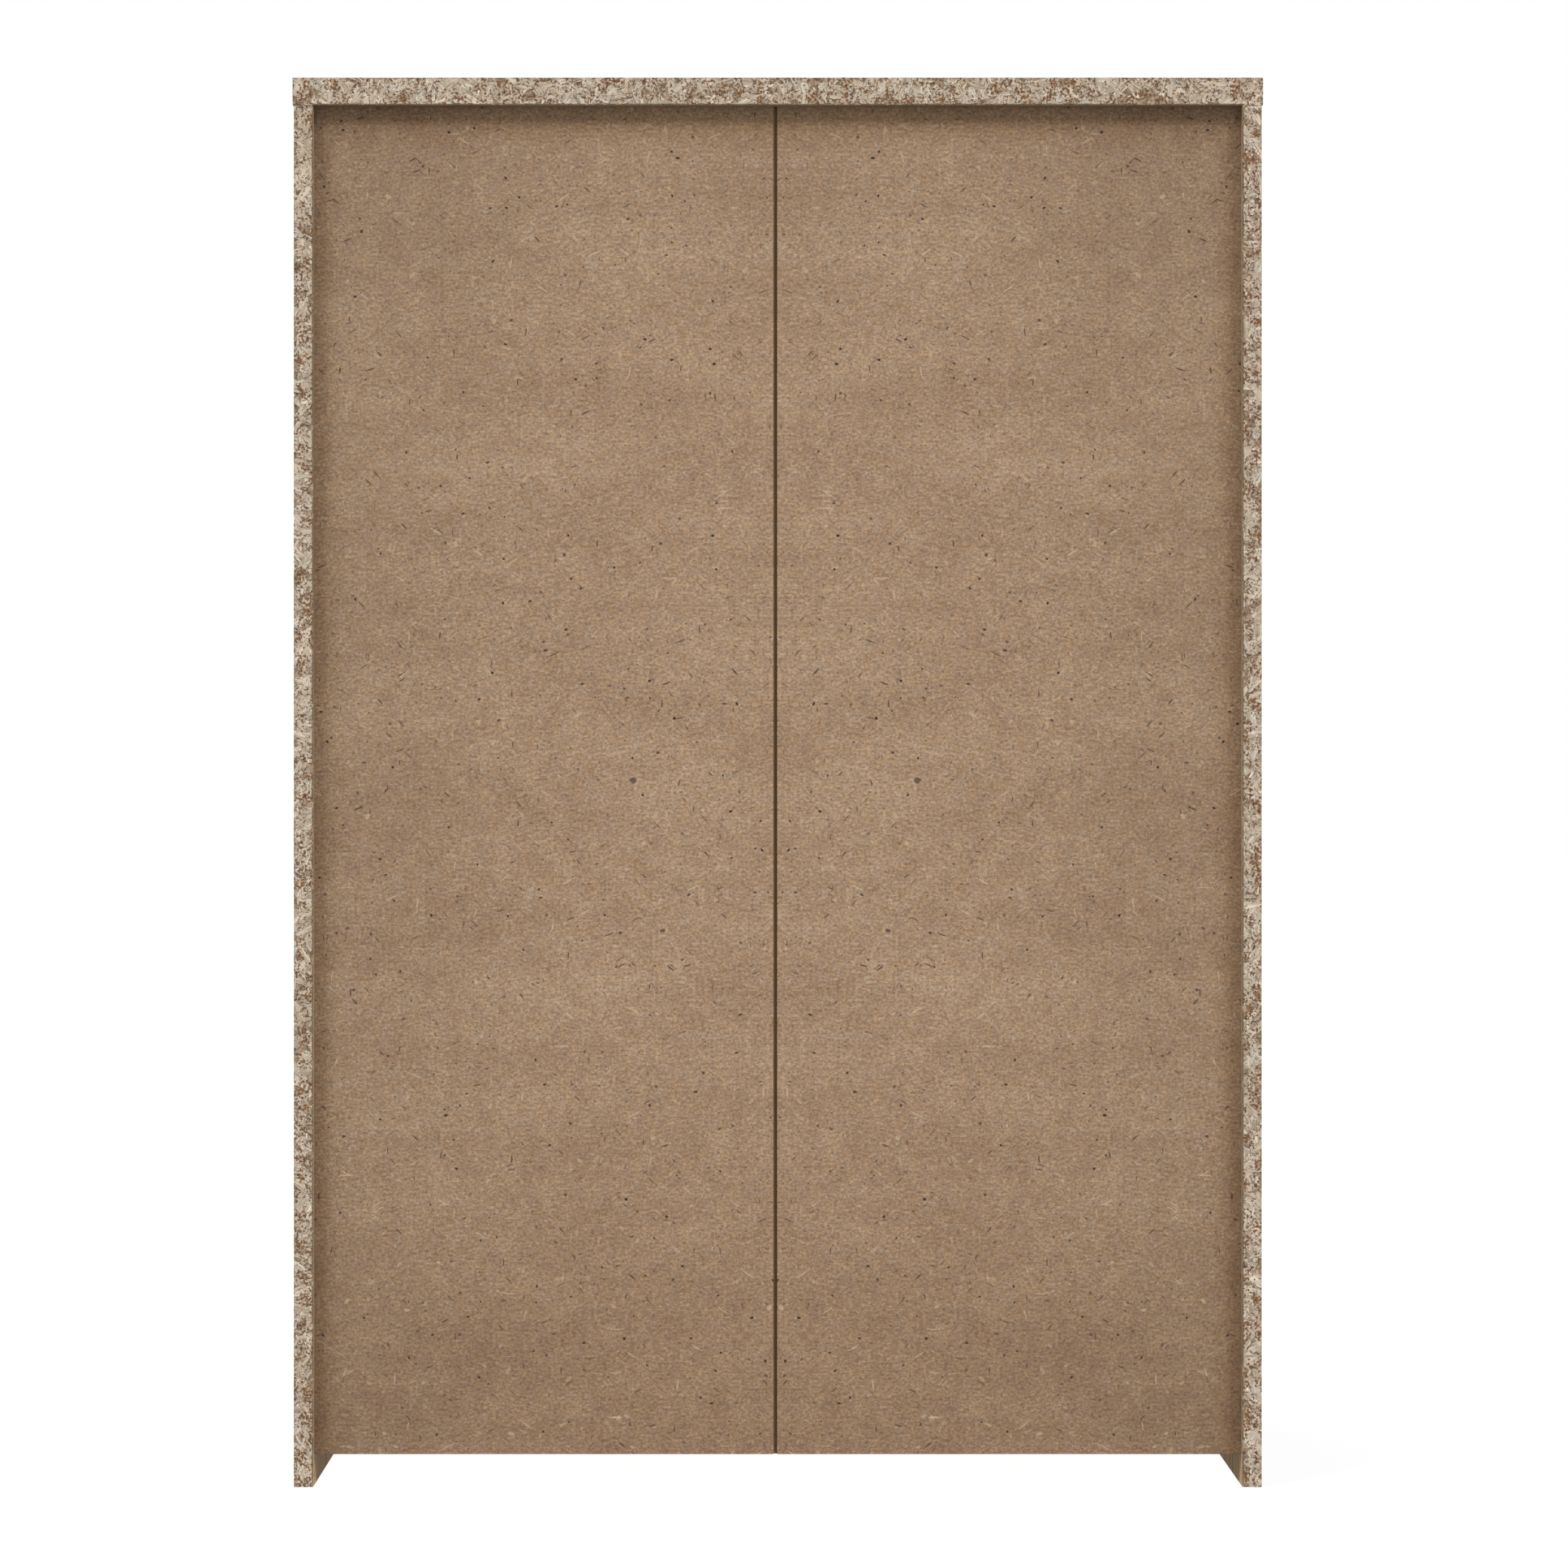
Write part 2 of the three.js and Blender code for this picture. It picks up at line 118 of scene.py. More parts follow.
class Recipe:
    """One material's node tree, built by short calls that return sockets."""

    def __init__(self, name):
        self.material = bpy.data.materials.new(name)
        self.material.use_nodes = True
        self.tree = self.material.node_tree
        self.shader = self.tree.nodes["Principled BSDF"]

    def node(self, kind, inputs=(), **settings):
        made = self.tree.nodes.new(kind)
        for key, value in settings.items():
            setattr(made, key, value)
        for key, value in dict(inputs).items():
            self.feed(made.inputs[key], value)
        return made

    def feed(self, socket, value):
        if isinstance(value, bpy.types.NodeSocket):
            self.tree.links.new(value, socket)
        else:
            socket.default_value = value

    def place(self, shift=(0, 0, 0), turn=(0, 0, 0), scale=(1, 1, 1), source=None):
        """Coordinates in metres, moved, turned and scaled."""
        if source is None:
            source = self.node("ShaderNodeTexCoord").outputs["Object"]
        inputs = {"Vector": source, "Location": shift, "Rotation": turn, "Scale": scale}
        return self.node("ShaderNodeMapping", inputs).outputs["Vector"]

    def noise(self, vector, scale, detail=3.0, roughness=0.55, distortion=0.0):
        inputs = {
            "Vector": vector,
            "Scale": scale,
            "Detail": detail,
            "Roughness": roughness,
            "Distortion": distortion,
        }
        return self.node("ShaderNodeTexNoise", inputs).outputs["Fac"]

    def cells(self, vector, scale, dimensions="3D"):
        """Distance to the nearest scattered point, and three random numbers of that point's own."""
        inputs = {"Vector": vector, "Scale": scale}
        made = self.node("ShaderNodeTexVoronoi", inputs, voronoi_dimensions=dimensions)
        split = self.node("ShaderNodeSeparateColor", {0: made.outputs["Color"]})
        return made.outputs["Distance"], *split.outputs

    def math(self, operation, *values):
        inputs = dict(enumerate(values))
        return self.node("ShaderNodeMath", inputs, operation=operation).outputs[0]

    def fade(self, value, low, high, start=0.0, end=1.0):
        """start at low or below, end at high or above, smooth between."""
        inputs = {"Value": value, "From Min": low, "From Max": high, "To Min": start, "To Max": end}
        made = self.node("ShaderNodeMapRange", inputs, interpolation_type="SMOOTHSTEP")
        return made.outputs["Result"]

    def ramp(self, value, *stops):
        made = self.node("ShaderNodeValToRGB", {"Fac": value})
        points = made.color_ramp.elements
        while len(points) < len(stops):
            points.new(0.5)
        for point, (position, colour) in zip(points, stops):
            point.position = position
            point.color = colour
        return made.outputs["Color"]

    def mix(self, share, first, second, blend="MIX"):
        """Mixes colours. The node's other sockets are for numbers and vectors."""
        made = self.node("ShaderNodeMix", data_type="RGBA", blend_type=blend)
        self.feed(made.inputs[0], share)
        self.feed(made.inputs[6], first)
        self.feed(made.inputs[7], second)
        return made.outputs[2]

    def times(self, colour, tone):
        """The colour times another, channel by channel."""
        return self.mix(1.0, colour, tone, blend="MULTIPLY")

    def tint(self, colour, value, dark, light, span=(0.34, 0.66)):
        """The colour times dark where value is low, and times light where it is high."""
        low, high = span
        return self.times(colour, self.ramp(value, (low, (*dark, 1)), (high, (*light, 1))))

    def dim(self, colour, factor):
        """The colour times a number."""
        made = self.node("ShaderNodeVectorMath", {0: colour}, operation="SCALE")
        self.feed(made.inputs["Scale"], factor)
        return made.outputs["Vector"]

    def finish(self, colour, roughness, height=None, depth=0.0, **fixed):
        """Feeds the shader. Height is 0 to 1, and depth what 1 stands for, in metres."""
        self.feed(self.shader.inputs["Base Color"], colour)
        self.feed(self.shader.inputs["Roughness"], roughness)
        if height is not None:
            inputs = {"Height": height, "Distance": depth, "Strength": 1.0}
            bump = self.node("ShaderNodeBump", inputs)
            self.feed(self.shader.inputs["Normal"], bump.outputs["Normal"])
        for key, value in fixed.items():
            self.shader.inputs[key.replace("_", " ")].default_value = value
        return self.material


def axes_of(recipe, source):
    made = recipe.node("ShaderNodeSeparateXYZ", {0: source})
    return made.outputs["X"], made.outputs["Y"], made.outputs["Z"]


# Materials -----------------------------------------------------------------------------------------


def scatter(r, source, colour, tone, share, layers):
    """Short strokes of one tone over the colour, in layers.

    A layer is an angle, the length and width of a stroke's cell in metres, the share of cells that
    have a stroke, and the smallest and largest stroke as shares of its cell.
    """
    for angle, along, across, keep, small, large in layers:
        lengthways = r.place(turn=(0, 0, angle), source=source)
        cell = r.place(scale=(1 / along, 1 / across, 1), source=lengthways)
        distance, chance, size, strength = r.cells(cell, 1.0, "2D")
        reach = r.fade(size, 0.0, 1.0, small, large)
        inside = r.math("SUBTRACT", 1.0, r.math("DIVIDE", distance, reach))
        chosen = r.math("LESS_THAN", chance, keep)
        mask = r.math("MULTIPLY", chosen, r.fade(inside, 0.0, 0.4))
        weight = r.math("MULTIPLY", mask, r.fade(strength, 0.0, 1.0, 0.5 * share, share))
        colour = r.mix(weight, colour, tone)
    return colour


# Layers for scatter
FAINT_SPECKS = (
    (0.6, 0.0062, 0.0044, 0.15, 0.13, 0.25),
    (-0.5, 0.0060, 0.0042, 0.15, 0.13, 0.25),
    (1.3, 0.0046, 0.0036, 0.13, 0.14, 0.26),
)
DARK_SPECKS = ((0.3, 0.0120, 0.0080, 0.050, 0.08, 0.18), (-0.9, 0.0110, 0.0080, 0.050, 0.08, 0.18))
DARK_THREADS = (
    (0.4, 0.028, 0.0050, 0.042, 0.09, 0.19),
    (-0.8, 0.026, 0.0050, 0.042, 0.09, 0.19),
    (1.5, 0.024, 0.0050, 0.034, 0.09, 0.18),
)
PALE_THREADS = (
    (0.5, 0.050, 0.0055, 0.040, 0.06, 0.17),
    (-0.6, 0.045, 0.0055, 0.040, 0.06, 0.17),
    (1.4, 0.040, 0.0055, 0.040, 0.06, 0.16),
    (0.0, 0.050, 0.0055, 0.030, 0.06, 0.17),
)
PALE_FLAKES = ((0.9, 0.014, 0.0080, 0.025, 0.12, 0.26), (-0.3, 0.014, 0.0080, 0.025, 0.12, 0.26))
BLOTS = ((0.2, 0.130, 0.1000, 0.040, 0.02, 0.036),)


def felted(r, flat, fine, felt):
    """The hardboard's brown, uneven at every size from single fibres to broad clouds."""
    mottle = r.noise(flat, 46, 5.0, 0.65)
    hue = r.noise(flat, 90, 2.0, 0.5)
    cloud = r.noise(r.place(scale=(0.8, 2.2, 1), source=flat), 5.5, 3.0, 0.5)
    colour = r.ramp(
        fine,
        (0.28, seen(130, 103, 77)),
        (0.50, seen(160, 133, 107)),
        (0.72, seen(191, 164, 138)),
    )
    colour = r.tint(colour, felt, (0.79, 0.78, 0.77), (1.20, 1.20, 1.19))
    colour = r.tint(colour, mottle, (0.90, 0.86, 0.82), (1.09, 1.10, 1.09))
    colour = r.tint(colour, hue, (0.98, 1.0, 1.06), (1.02, 1.0, 0.94))
    return r.tint(colour, cloud, (0.89, 0.86, 0.84), (1.04, 1.05, 1.05))


def panel_shading(r, colour, from_seam, z):
    """Darkens the panels towards the sides, the top and the floor; painted shade warms their rims."""
    colour = r.dim(colour, r.fade(from_seam, 0.12, 0.46, 1.0, 0.89))
    colour = r.dim(colour, r.fade(z, 1.0, 1.25, 1.0, 0.93))
    colour = r.tint(colour, r.fade(z, 0.0, 0.45), (0.79, 0.75, 0.71), (1, 1, 1), (0.0, 1.0))
    # Painted shade: the recesses beside the side boards and below the top are tinted warmer and darker.
    beside_side = r.fade(from_seam, 0.400, 0.430)
    below_top = r.fade(z, UNDER_Z - 0.045, UNDER_Z - 0.010)
    warm_painted_shade = r.times(colour, (1.0, 0.93, 0.84, 1))
    return r.mix(r.math("MAXIMUM", beside_side, below_top), colour, warm_painted_shade)


def flecked(r, colour, flat):
    """Pale flakes and threads, then dark specks and threads, over the colour."""
    # A slow warp of the coordinates curls the threads.
    warp = r.node("ShaderNodeTexNoise", {"Vector": flat, "Scale": 60.0, "Detail": 1.0})
    curled = r.mix(0.005, flat, warp.outputs["Color"], blend="ADD")
    colour = scatter(r, curled, colour, seen(196, 172, 146), 0.50, PALE_FLAKES)
    colour = scatter(r, curled, colour, seen(204, 181, 152), 0.52, PALE_THREADS)
    colour = scatter(r, curled, colour, seen(92, 66, 50), 0.58, FAINT_SPECKS)
    colour = scatter(r, curled, colour, seen(74, 48, 34), 0.90, DARK_THREADS)
    colour = scatter(r, curled, colour, seen(44, 27, 19), 1.00, DARK_SPECKS)
    return scatter(r, curled, colour, seen(58, 32, 26), 0.95, BLOTS)


def hardboard():
    """Brown hardboard, book-matched at the seam: the pattern is a function of the distance from it."""
    r = Recipe("hardboard")
    x, _, z = axes_of(r, r.node("ShaderNodeTexCoord").outputs["Object"])
    from_seam = r.math("ABSOLUTE", r.math("SUBTRACT", x, SEAM_X))
    flat = r.node("ShaderNodeCombineXYZ", {"X": from_seam, "Y": z}).outputs[0]
    fine = r.noise(r.place(scale=(1, 1.2, 1), source=flat), 350, 3.0, 0.75)
    felt = r.noise(r.place(turn=(0, 0, 0.5), scale=(1, 2.2, 1), source=flat), 150, 4.0, 0.7)

    colour = felted(r, flat, fine, felt)
    colour = panel_shading(r, colour, from_seam, z)
    colour = flecked(r, colour, flat)
    roughness = r.fade(fine, 0.3, 0.7, 0.92, 0.78)
    height = r.math("ADD", r.math("MULTIPLY", fine, 0.6), r.math("MULTIPLY", felt, 0.4))
    return r.finish(colour, roughness, height, 0.00012, Specular_IOR_Level=0.25)


def chip_bed(r):
    """Fine particle texture for raw chipboard, as colour and height."""
    source = r.place()
    grain = r.noise(source, 330, 4.0, 0.7)
    _, lump, _, _ = r.cells(r.place(scale=(1, 1, 0.55), source=source), 240)
    colour = r.ramp(
        grain,
        (0.34, seen(96, 70, 48)),
        (0.50, seen(150, 124, 98)),
        (0.68, seen(192, 176, 156)),
    )
    colour = r.dim(colour, r.fade(lump, 0.0, 1.0, 0.78, 1.12))
    height = r.math("ADD", r.math("MULTIPLY", grain, 0.6), r.math("MULTIPLY", lump, 0.4))
    return colour, height


def along_grain(r, upright, shift):
    """Coordinates whose Z runs along the grain, which turns round at a board's ends."""
    main = r.place(shift=shift, turn=(0, 0, 0) if upright else (0, math.pi / 2, 0))
    end = r.place(shift=shift, turn=(math.pi / 2, 0, 0))
    facing = axes_of(r, r.node("ShaderNodeTexCoord").outputs["Normal"])
    at_end = r.math("GREATER_THAN", r.math("ABSOLUTE", facing[2 if upright else 0]), FACING)
    return r.mix(at_end, main, end)


# Painted shade: the top board is darker, so that the keys, which light it most, don't wash it out.
BOARD_PAINTED_SHADE = {"top_panel": 0.87}  # the others are 1


def oak_figure(r, board, shade):
    """Oak's colour, roughness and height, and its fibres, from coordinates along the grain."""
    # Slow waves bend the grain, and arches come from a stretched noise.
    drift = r.noise(r.place(scale=(1, 1, 0.30), source=board), 2.6, 2.0, 0.5)
    bent = r.node("ShaderNodeCombineXYZ", {"X": r.math("MULTIPLY", drift, 0.10)}).outputs[0]
    bent = r.mix(1.0, board, bent, blend="ADD")
    arch = r.noise(r.place(scale=(1, 1, 0.045), source=bent), 11, 2.0, 0.45)
    rings = r.math("PINGPONG", r.math("MULTIPLY", arch, 16.0), 0.5)
    fibre = r.noise(r.place(scale=(1, 1, 0.012), source=bent), 420, 4.0, 0.7)
    broad = r.noise(r.place(scale=(1, 1, 0.020), source=bent), 75, 3.0, 0.6)
    pores = r.noise(r.place(scale=(1, 1, 0.030), source=bent), 850, 2.0, 0.6)
    patch = r.noise(r.place(scale=(1, 1, 0.3), source=board), 4.0, 2.0, 0.5)

    colour = r.ramp(
        rings,
        (0.00, seen(148, 126, 99)),
        (0.14, seen(163, 142, 114)),
        (0.50, seen(173, 153, 124)),
    )
    colour = r.tint(colour, fibre, (0.84, 0.83, 0.81), (1.08, 1.08, 1.08))
    colour = r.tint(colour, broad, (0.86, 0.84, 0.82), (1.05, 1.05, 1.05), (0.36, 0.62))
    # shade darkens a whole board: painted shade, on the top board.
    colour = r.dim(colour, r.fade(patch, 0.3, 0.7, 0.93 * shade, 1.05 * shade))
    pore = r.math("MULTIPLY", r.fade(pores, 0.60, 0.68), r.fade(rings, 0.35, 0.0))
    colour = r.mix(r.math("MULTIPLY", pore, 0.75), colour, seen(92, 72, 52))
    roughness = r.fade(fibre, 0.3, 0.7, 0.58, 0.44)
    height = r.math("SUBTRACT", r.math("MULTIPLY", fibre, 0.5), r.math("MULTIPLY", pore, 0.5))
    return colour, roughness, height, fibre


def seam_brown_painted_shade(r, fibre, x):
    """The brown of the edges behind the seam; painted shade makes it darker on its left than on its
    right.
    """
    side = r.fade(x, SEAM_X - 0.0003, SEAM_X + 0.0003)
    colour = r.mix(side, seen(130, 97, 65), seen(168, 137, 100))
    return r.dim(colour, r.fade(fibre, 0.3, 0.7, 0.88, 1.08))


def oak(name, upright, shift, back=None):
    """Oak-pattern melamine, its grain along a board. Its back edge may be "raw", or brown with painted
    shade where it shows behind the seam.
    """
    r = Recipe(f"oak_{name}")
    board = along_grain(r, upright, shift)
    colour, roughness, height, fibre = oak_figure(r, board, BOARD_PAINTED_SHADE.get(name, 1.0))
    x, _, z = axes_of(r, r.node("ShaderNodeTexCoord").outputs["Object"])
    facing = r.node("ShaderNodeTexCoord").outputs["Normal"]
    backwards = r.math("GREATER_THAN", axes_of(r, facing)[1], FACING)
    if back == "raw":
        # Painted light: the inner faces are paler and browner just above the floor, where little light
        # reaches them.
        inner = r.math("LESS_THAN", r.math("ABSOLUTE", x), INNER_X + 0.0005)
        low = r.math("MULTIPLY", inner, r.fade(z, 0.034, 0.022))
        colour = r.mix(low, colour, r.times(colour, (1.52, 1.42, 1.29, 1)))
        roughness = r.math("MAXIMUM", roughness, low)
        back_colour, back_height = chip_bed(r)
        back_height = r.math("MULTIPLY", back_height, 4.0)
        height = r.math("ADD", height, r.math("MULTIPLY", backwards, back_height))
    # Behind the seam the back edge is brown, with painted shade on its left half.
    if back == "seam_brown_painted_shade":
        back_colour = seam_brown_painted_shade(r, fibre, x)
    if back:
        colour = r.mix(backwards, colour, back_colour)
        roughness = r.math("MAXIMUM", roughness, r.math("MULTIPLY", backwards, 0.9))
    return r.finish(colour, roughness, height, 0.00008, Specular_IOR_Level=0.15)


def crumbled(r, colour, source, crumb):
    """Brown crumbs in small ragged gaps, which come in clusters: the colour, and the gaps."""
    where = r.noise(source, 75, 3.0, 0.5)
    gap = r.fade(r.math("ADD", crumb, r.math("MULTIPLY", where, 0.6)), 0.858, 0.886)
    brown = r.ramp(crumb, (0.5, seen(140, 96, 54)), (0.66, seen(84, 50, 28)))
    return r.mix(r.math("MULTIPLY", gap, 0.95), colour, brown), gap


def rim_painted_shade(r, colour, source, crumb):
    """A thin brown line of painted shade along the edges next to the back panels, with a ragged border.
    """
    x, _, z = axes_of(r, source)
    beyond_side = r.math("SUBTRACT", r.math("ABSOLUTE", x), INNER_X)
    beyond_top = r.math("SUBTRACT", z, UNDER_Z)
    reach = r.math("MAXIMUM", beyond_side, beyond_top)
    reach = r.math("ADD", reach, r.math("MULTIPLY", r.math("SUBTRACT", crumb, 0.5), 0.002))
    # Painted shade, standing for the shaded faces of the boards beside the back panels.
    rim_shade = r.math("MULTIPLY", r.fade(reach, 0.0015, 0.0009), 0.9)
    return r.mix(rim_shade, colour, seen(106, 84, 60))


def strand():
    """Loose strands of chipboard, each with its own tone and fibres along its own length."""
    r = Recipe("chipboard_strands")
    tone = r.node("ShaderNodeVertexColor", layer_name="tone").outputs["Color"]
    fibre_map = r.node("ShaderNodeUVMap", uv_map="fibre").outputs["UV"]
    fibre = r.noise(r.place(scale=(60, 780, 1), source=fibre_map), 1.0, 3.0, 0.65, 0.3)
    coarse = r.noise(r.place(scale=(60, 420, 1), source=fibre_map), 1.0, 2.0, 0.5, 0.5)
    lines = r.ramp(
        fibre,
        (0.30, (0.36, 0.28, 0.20, 1)),
        (0.43, (0.89, 0.86, 0.81, 1)),
        (0.66, (1.20, 1.20, 1.20, 1)),
    )
    colour = r.times(tone, lines)
    colour = r.dim(colour, r.fade(coarse, 0.32, 0.66, 0.72, 1.11))
    source = r.place()
    crumb = r.noise(source, 400, 3.0, 0.65)
    colour, gap = crumbled(r, colour, source, crumb)
    colour = rim_painted_shade(r, colour, source, crumb)
    height = r.math("ADD", r.math("MULTIPLY", fibre, 0.6), r.math("MULTIPLY", coarse, 0.4))
    height = r.math("SUBTRACT", height, r.math("MULTIPLY", gap, 0.8))
    return r.finish(colour, 0.86, height, 0.0002, Specular_IOR_Level=0.2)


def metal(name, colour, low, high, scale, grain=(1, 1, 1)):
    """Metal, its roughness uneven between low and high; grain stretches the polishing marks."""
    r = Recipe(name)
    marks = r.noise(r.place(scale=grain), scale, 4.0, 0.7)
    smear = r.noise(r.place(), 60, 2.0, 0.5)
    dark = tuple(0.86 * value for value in colour)
    shade = r.ramp(smear, (0.3, (*dark, 1)), (0.7, (*colour, 1)))
    rough = r.fade(marks, 0.3, 0.7, low, high)
    return r.finish(shade, rough, marks, 0.000002, Metallic=1.0)


def moulded(name, colour, roughness=0.5):
    """Moulded plastic with a fine spark-eroded grain."""
    r = Recipe(name)
    grain = r.noise(r.place(), 1400, 2.0, 0.5)
    smear = r.noise(r.place(), 90, 2.0, 0.5)
    dark = tuple(0.82 * value for value in colour)
    shade = r.ramp(smear, (0.3, (*dark, 1)), (0.7, (*colour, 1)))
    rough = r.fade(grain, 0.3, 0.7, roughness - 0.08, roughness + 0.08)
    return r.finish(shade, rough, grain, 0.00003)


def floor_paint():
    """Pale matt paint that glows: a little more under the wardrobe, where it is in shadow."""
    r = Recipe("pale_floor")
    speckle = r.noise(r.place(), 300, 3.0, 0.6)
    cloud = r.noise(r.place(), 1.5, 2.0, 0.5)
    shade = r.ramp(speckle, (0.3, (0.043, 0.043, 0.043, 1)), (0.7, (0.047, 0.047, 0.047, 1)))
    shade = r.dim(shade, r.fade(cloud, 0.3, 0.7, 0.99, 1.01))
    x, y, _ = axes_of(r, r.node("ShaderNodeTexCoord").outputs["Object"])
    within_x = r.fade(r.math("ABSOLUTE", x), OUTER_X, INNER_X)
    past_front = r.fade(y, SIDE_FRONT_Y, SIDE_FRONT_Y + 0.05)
    before_back = r.fade(y, BACK_Y + 0.06, BACK_Y)
    within = r.math("MULTIPLY", within_x, r.math("MULTIPLY", past_front, before_back))
    glow = r.fade(within, 0.0, 1.0, FLOOR_GLOW, SHELTERED_GLOW)
    r.feed(r.shader.inputs["Emission Strength"], glow)
    return r.finish(shade, 0.9, Specular_IOR_Level=0.0, Emission_Color=(1, 1, 1, 1))


# Shapes --------------------------------------------------------------------------------------------

# For each axis: the two directions round it, and the direction along it.
AROUND = {
    "X": (Vector((0, 1, 0)), Vector((0, 0, 1)), Vector((1, 0, 0))),
    "Y": (Vector((0, 0, 1)), Vector((1, 0, 0)), Vector((0, 1, 0))),
    "Z": (Vector((1, 0, 0)), Vector((0, 1, 0)), Vector((0, 0, 1))),
}


def mesh_piece(name, vertices, faces, material, body, smooth=True):
    """A mesh object that rides a body, with all its faces turned outwards."""
    mesh = bpy.data.meshes.new(name)
    mesh.from_pydata(vertices, [], faces)
    shell = bmesh.new()
    shell.from_mesh(mesh)
    bmesh.ops.recalc_face_normals(shell, faces=shell.faces)
    shell.to_mesh(mesh)
    shell.free()
    if smooth:
        mesh.shade_smooth()
        mesh.set_sharp_from_angle(angle=math.radians(32))
    mesh.materials.append(material)
    made = bpy.data.objects.new(name, mesh)
    scene.collection.objects.link(made)
    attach(made, body)
    return made


def ring(origin, along, reach, radius, straight=0.0, points=48):
    """Points round an axis, reach along it. straight parts the halves, which makes a slot shape."""
    across, up, out = AROUND[along]
    made = []
    for place in range(points):
        angle = 2 * math.pi * (place + 0.5) / points
        lift = math.copysign(straight / 2, math.sin(angle))
        side = across * (radius * math.cos(angle)) + up * (radius * math.sin(angle) + lift)
        made.append(Vector(origin) + out * reach + side)
    return made


def skin(rings, tube=False):
    """Vertices and faces over a row of rings: capped at both ends, or closed on itself as a tube."""
    count = len(rings[0])
    vertices = [point for one in rings for point in one]
    faces = []
    pairs = list(zip(range(len(rings)), range(1, len(rings))))
    if tube:
        pairs.append((len(rings) - 1, 0))
    for first, second in pairs:
        for place in range(count):
            following = (place + 1) % count
            faces.append(
                (
                    first * count + place,
                    first * count + following,
                    second * count + following,
                    second * count + place,
                )
            )
    if not tube:
        faces.append(tuple(range(count)))
        faces.append(tuple(range((len(rings) - 1) * count, len(rings) * count)))
    return vertices, faces


def turned(name, origin, along, outline, material, body, straight=0.0, tube=False, points=48):
    """A shape turned about an axis through origin, from (radius, reach) points."""
    rings = [ring(origin, along, reach, radius, straight, points) for radius, reach in outline]
    vertices, faces = skin(rings, tube)
    return mesh_piece(name, vertices, faces, material, body)


def dome(radius, height, edge):
    """The outline of a shallow cap that stands on reach 0, for turned."""
    outline = [(radius, 0.0), (radius, edge)]
    for step in range(1, 6):
        angle = step * math.pi / 10
        outline.append((radius * math.cos(angle) ** 0.7, edge + (height - edge) * math.sin(angle)))
    return outline


def join_meshes(parts):
    """One mesh's vertices and faces, from several."""
    vertices, faces = [], []
    for more_vertices, more_faces in parts:
        start = len(vertices)
        vertices += more_vertices
        faces += [tuple(start + corner for corner in face) for face in more_faces]
    return vertices, faces


def screw_head(origin, along, way, radius, height, points=40):
    """A low head with a cross recess. way is 1 or -1 along the axis."""
    across, up, out = AROUND[along]
    slot_half = 0.17 * radius
    slot_reach = 0.62 * radius
    depth = 0.75 * height
    rings = []
    for share, crown in ((1.0, -0.3), (1.0, 0.55)):
        rings.append(ring(origin, along, way * height * crown, radius * share, 0.0, points))
    for share in (0.93, 0.80, 0.66, 0.58, 0.46, 0.34, 0.26, 0.20, 0.14, 0.06):
        one = []
        for place in range(points):
            angle = 2 * math.pi * (place + 0.5) / points
            a = share * radius * math.cos(angle)
            b = share * radius * math.sin(angle)
            in_first = abs(b) < slot_half and abs(a) < slot_reach
            in_second = abs(a) < slot_half and abs(b) < slot_reach
            lift = height * (1.0 - 0.35 * share**2)
            lift -= depth if in_first or in_second else 0.0
            one.append(Vector(origin) + across * a + up * b + out * (way * lift))
        rings.append(one)
    return skin(rings)


def screws(name, places, along, way, radius, height, material, body):
    """Screw heads at the places, as one piece."""
    heads = [screw_head(place, along, way, radius, height) for place in places]
    vertices, faces = join_meshes(heads)
    return mesh_piece(name, vertices, faces, material, body, smooth=False)


# Raw chipboard edges -------------------------------------------------------------------------------

PALE_TONES = ((206, 193, 175), (199, 184, 165), (193, 177, 156), (185, 168, 147), (199, 188, 172))
BROWN_TONES = ((150, 114, 76), (130, 94, 60), (156, 104, 60), (102, 78, 54), (160, 132, 98))

# The range of a strand's length, and of its width
FLAKE_SIZE = ((0.007, 0.022), (0.0025, 0.008))
SLIVER_SIZE = ((0.002, 0.010), (0.0003, 0.0009))
CRUMB_SIZE = ((0.0009, 0.0031), (0.0006, 0.0015))
FLAKE_AREA = 0.000024  # square metres of edge to a flake
CRUMB_AREA = 0.000085  # and to a cluster of crumbs
SLIVERS = (1, 4)  # to a flake
SLIVER_LEAN = 0.2
SLIVER_BROWN = 0.30  # the share that is brown
CRUMBS = (1, 5)  # to a cluster
CRUMB_SPREAD = 0.0020
CRUMB_BROWN = 0.85
FLAKE_POINTS = 12
CHIP_POINTS = 6  # for slivers and crumbs
STRAND_SINK = 0.0001  # how far strands reach into the board
STRAND_LIFT = 0.0001  # how far the lowest stands out of it
STRAND_PILE = 0.0003  # and how much more the topmost does
STRAND_MARGIN = 0.00005  # from the edge's corners


def strand_tone(rng, brown_share=0.0):
    tones = BROWN_TONES if rng.random() < brown_share else PALE_TONES
    shade = rng.uniform(0.94, 1.06)
    return seen(*(min(255, shade * value) for value in rng.choice(tones)))


def strand_outline(rng, length, width, points):
    """A long blunt outline with rough ends, centred on the origin."""
    outline = []
    for place in range(points):
        angle = 2 * math.pi * (place + 0.5) / points
        along = math.copysign(abs(math.cos(angle)) ** 0.55, math.cos(angle))
        across = math.copysign(abs(math.sin(angle)) ** 0.8, math.sin(angle))
        outline.append(
            (
                0.5 * length * along * rng.uniform(0.82, 1.0),
                0.5 * width * across * rng.uniform(0.78, 1.0),
            )
        )
    return outline


def offset(centre, angle, along, across):
    """The place that lies along and across from centre, on axes turned by angle."""
    return (
        centre[0] + along * math.cos(angle) - across * math.sin(angle),
        centre[1] + along * math.sin(angle) + across * math.cos(angle),
    )


def random_size(rng, ranges):
    return tuple(rng.uniform(*limits) for limits in ranges)


